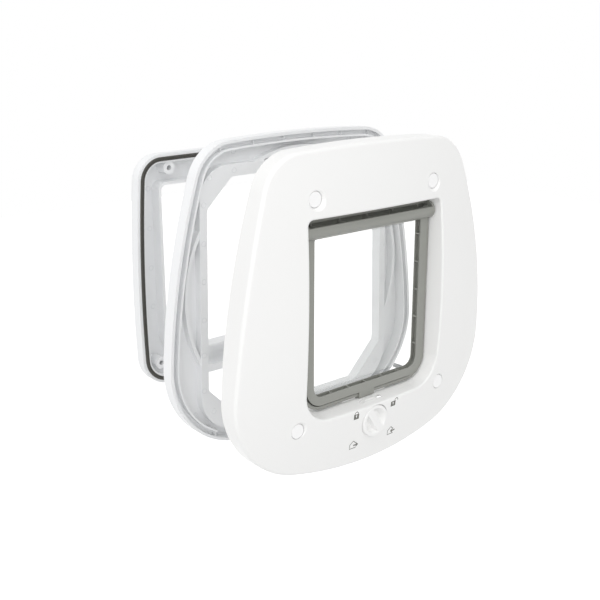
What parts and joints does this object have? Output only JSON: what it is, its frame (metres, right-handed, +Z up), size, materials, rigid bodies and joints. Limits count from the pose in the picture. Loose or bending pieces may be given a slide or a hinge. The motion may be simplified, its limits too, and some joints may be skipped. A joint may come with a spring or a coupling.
{
  "type": "cat flap",
  "caption": "White cat flap for a pane or door: domed front frame with a hinged clear flap and lock dial, tray-like middle frame and sealed rear frame, drawn apart on one axis.",
  "frame": {"origin": "on the passage's centre line, in the plane of the front frame's back edge that bears on the pane", "axes": "+X to the right seen from the room, +Z up, +Y from the room to the outside, along the line on which the frames are drawn apart"},
  "size_m": [0.2726, 0.2168, 0.2659],
  "materials": {
    "white_plastic": "smooth moulded white",
    "grey_plastic": "satin moulded grey",
    "clear_plastic": "clear sheet",
    "black_rubber": "matt foam rubber",
    "steel": "zinc plated",
    "magnet": "sintered, unplated"
  },
  "bodies": {
    "front": {"front_frame": "white_plastic", "cap_top_left": "white_plastic", "cap_top_right": "white_plastic", "cap_bottom_left": "white_plastic", "cap_bottom_right": "white_plastic", "fixing_screws": "steel", "sill_magnet_left": "magnet", "sill_magnet_right": "magnet"},
    "flap": {"flap_frame": "grey_plastic", "flap_pane": "clear_plastic", "flap_magnet_left": "magnet", "flap_magnet_right": "magnet", "hinge_pin_left": "steel", "hinge_pin_right": "steel"},
    "lock": {"lock_dial": "white_plastic", "lock_cam": "white_plastic", "dial_screw": "steel"},
    "middle": {"middle_frame": "white_plastic"},
    "rear": {"rear_frame": "white_plastic", "rear_seal": "black_rubber"}
  },
  "joints": [
    {"name": "flap_swing", "type": "hinge", "parent": "front", "child": "flap", "pos_m": [0, -0.013, 0.0675], "axis": [1, 0, 0], "range_deg": [-85, 85]},
    {"name": "dial_turn", "type": "hinge", "parent": "front", "child": "lock", "pos_m": [0, -0.0234, -0.0992], "axis": [0, 1, 0], "range_deg": [0, 270]},
    {"name": "middle_slide", "type": "slide", "parent": "front", "child": "middle", "axis": [0, 1, 0], "range_m": [-0.062, 0]},
    {"name": "rear_slide", "type": "slide", "parent": "middle", "child": "rear", "axis": [0, 1, 0], "range_m": [-0.089, 0]}
  ]
}
